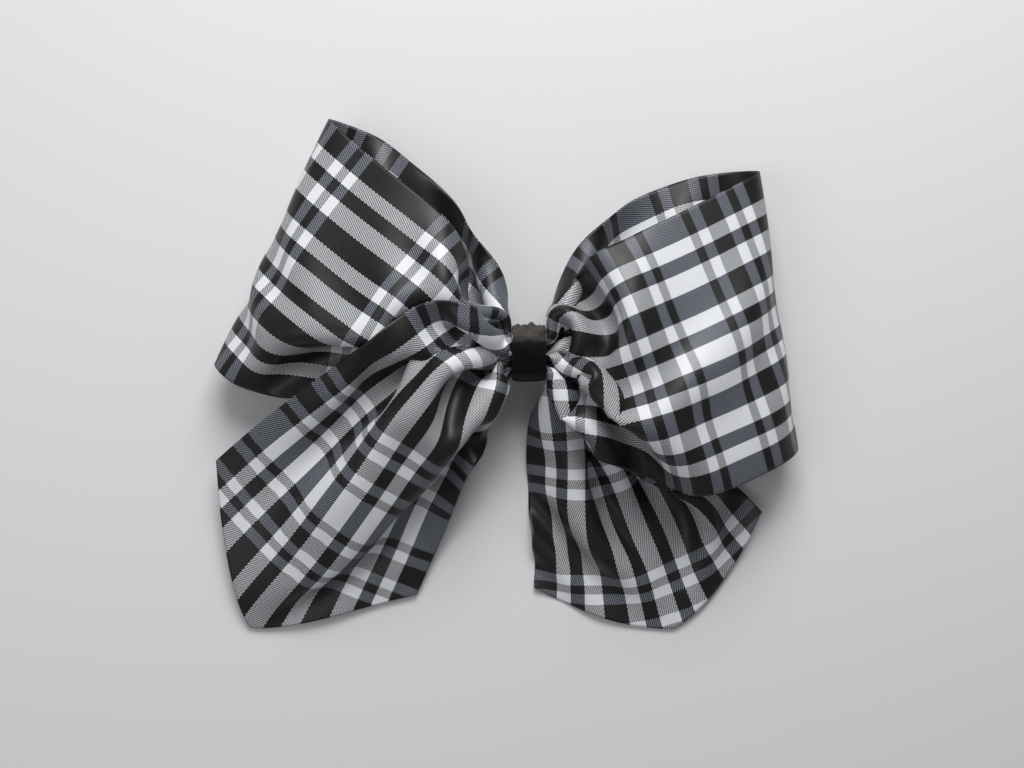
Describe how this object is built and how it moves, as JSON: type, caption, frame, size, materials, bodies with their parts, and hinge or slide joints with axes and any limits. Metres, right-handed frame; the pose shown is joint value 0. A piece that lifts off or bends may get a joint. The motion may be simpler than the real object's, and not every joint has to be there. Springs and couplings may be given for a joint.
{
  "type": "hair bow",
  "caption": "Large hair bow of wide plaid ribbon with open loops and pointed tails, gathered under a velvet wrap on a sprung alligator clip.",
  "frame": {"origin": "middle of the bow's footprint, on the surface it lies on; the knot is 8.2 mm right of and 2.9 mm above that point", "axes": "+Z out of the front of the bow as it lies on its back, +X to the right across both loops, +Y up the bow, away from the tails"},
  "size_m": [0.163, 0.143, 0.034],
  "materials": {
    "plaid_ribbon": "woven plaid taffeta, black and white yarns, soft satin sheen",
    "velvet_ribbon": "black velvet pile with a grey sheen at grazing angles",
    "binding_thread": "twisted polyester sewing thread",
    "hot_melt_glue": "cloudy, slightly glossy hot-melt glue",
    "nickel_plated_steel": "bright nickel plate with fine rolling lines",
    "spring_steel": "drawn steel wire"
  },
  "bodies": {
    "bow": {"left_loop": "plaid_ribbon", "right_loop": "plaid_ribbon", "left_tail": "plaid_ribbon", "right_tail": "plaid_ribbon", "gathered_centre": "plaid_ribbon", "binding_thread": "binding_thread", "centre_wrap": "velvet_ribbon", "glue_bed": "hot_melt_glue", "clip_upper_jaw": "nickel_plated_steel", "clip_hinge_pin": "nickel_plated_steel", "clip_spring": "spring_steel"},
    "clip_jaw": {"clip_lower_jaw": "nickel_plated_steel"}
  },
  "joints": [
    {"name": "clip_hinge", "type": "hinge", "parent": "bow", "child": "clip_jaw", "pos_m": [0.01667, 0.00293, 0.0062], "axis": [0, -1, 0], "range_deg": [0, 25], "stiffness_Nm_per_rad": 0.05, "springref_deg": -57.3, "deforming": ["clip_spring"]}
  ]
}
